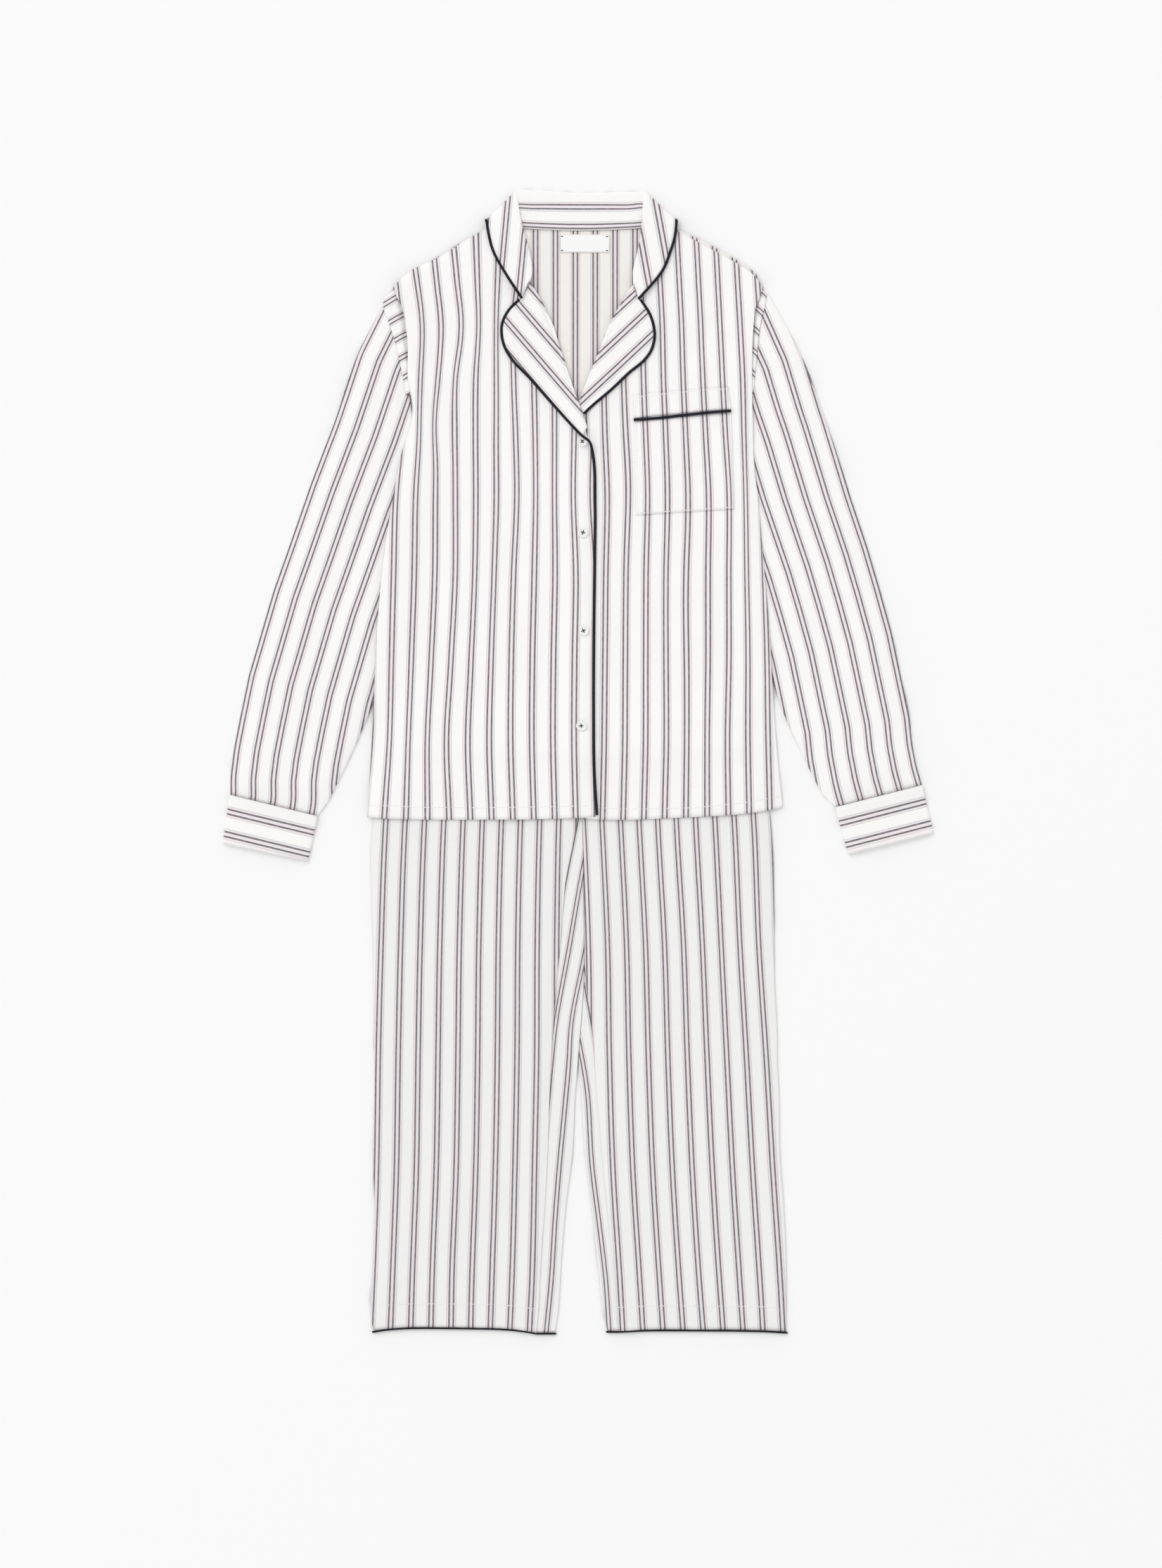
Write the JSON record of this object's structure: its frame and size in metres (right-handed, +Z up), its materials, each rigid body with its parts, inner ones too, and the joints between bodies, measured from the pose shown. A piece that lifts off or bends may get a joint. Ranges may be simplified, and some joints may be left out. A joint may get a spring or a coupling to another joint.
{
  "type": "pyjama set",
  "caption": "Striped pyjama set laid flat: long-sleeved shirt with a notched, dark-piped collar over straight cropped trousers.",
  "frame": {"origin": "on the surface the set lies on, under the middle of the set", "axes": "+X to the wearer's left (the viewer's right), +Y towards the collar, +Z up off the surface"},
  "size_m": [0.807, 1.3026, 0.0115],
  "materials": {
    "shirt_cloth": "soft light cotton, off-white with pairs of fine plum-grey stripes",
    "trouser_cloth": "soft light cotton, slightly greyer, with the same pairs of stripes",
    "piping": "near-black navy bias tape over cord",
    "button": "polished white",
    "label": "white woven satin, left blank"
  },
  "bodies": {
    "root": {"shirt_back": "shirt_cloth", "shirt_front_left": "shirt_cloth", "shirt_front_right": "shirt_cloth", "facing_left": "shirt_cloth", "facing_right": "shirt_cloth", "collar": "shirt_cloth", "sleeve_left": "shirt_cloth", "sleeve_right": "shirt_cloth", "cuff_left": "shirt_cloth", "cuff_right": "shirt_cloth", "pocket": "shirt_cloth", "pocket_band": "shirt_cloth", "trouser_front_left": "trouser_cloth", "trouser_front_right": "trouser_cloth", "trouser_back_left": "trouser_cloth", "trouser_back_right": "trouser_cloth", "waistband": "trouser_cloth", "collar_piping": "piping", "lapel_piping_left": "piping", "front_piping_right": "piping", "pocket_piping": "piping", "hem_piping_left": "piping", "hem_piping_right": "piping", "button_1": "button", "button_2": "button", "button_3": "button", "button_4": "button", "label": "label"}
  },
  "joints": []
}
